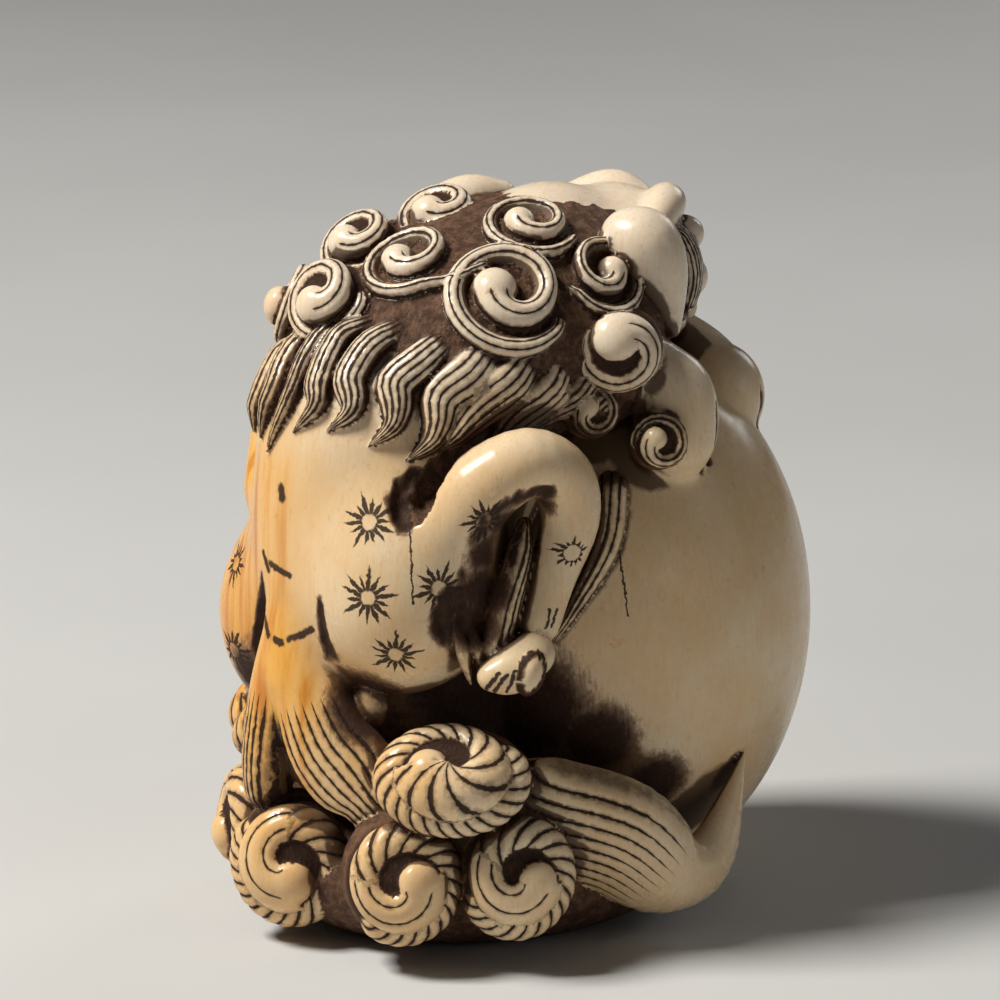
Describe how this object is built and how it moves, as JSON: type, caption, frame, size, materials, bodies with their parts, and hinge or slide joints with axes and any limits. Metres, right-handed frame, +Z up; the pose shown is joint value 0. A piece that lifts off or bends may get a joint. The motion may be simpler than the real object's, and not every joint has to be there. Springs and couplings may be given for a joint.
{
  "type": "netsuke",
  "caption": "Carved netsuke of a crouching lion dog that clasps a large smooth ball, with a curled mane, a rope-edged wave base and cord holes underneath.",
  "frame": {"origin": "under the middle of the whole carving, on the flat underside that it stands on", "axes": "+Z up from the underside to the brow, +X the way the shishi faces, towards the ball, +Y its left side"},
  "size_m": [0.0368, 0.0293, 0.0415],
  "materials": {
    "ivory": "polished aged ivory, creamy white with warm yellow patina, dark brown dirt and stain in the carved lines"
  },
  "bodies": {
    "root": {"shishi_and_ball": "ivory"}
  },
  "joints": []
}
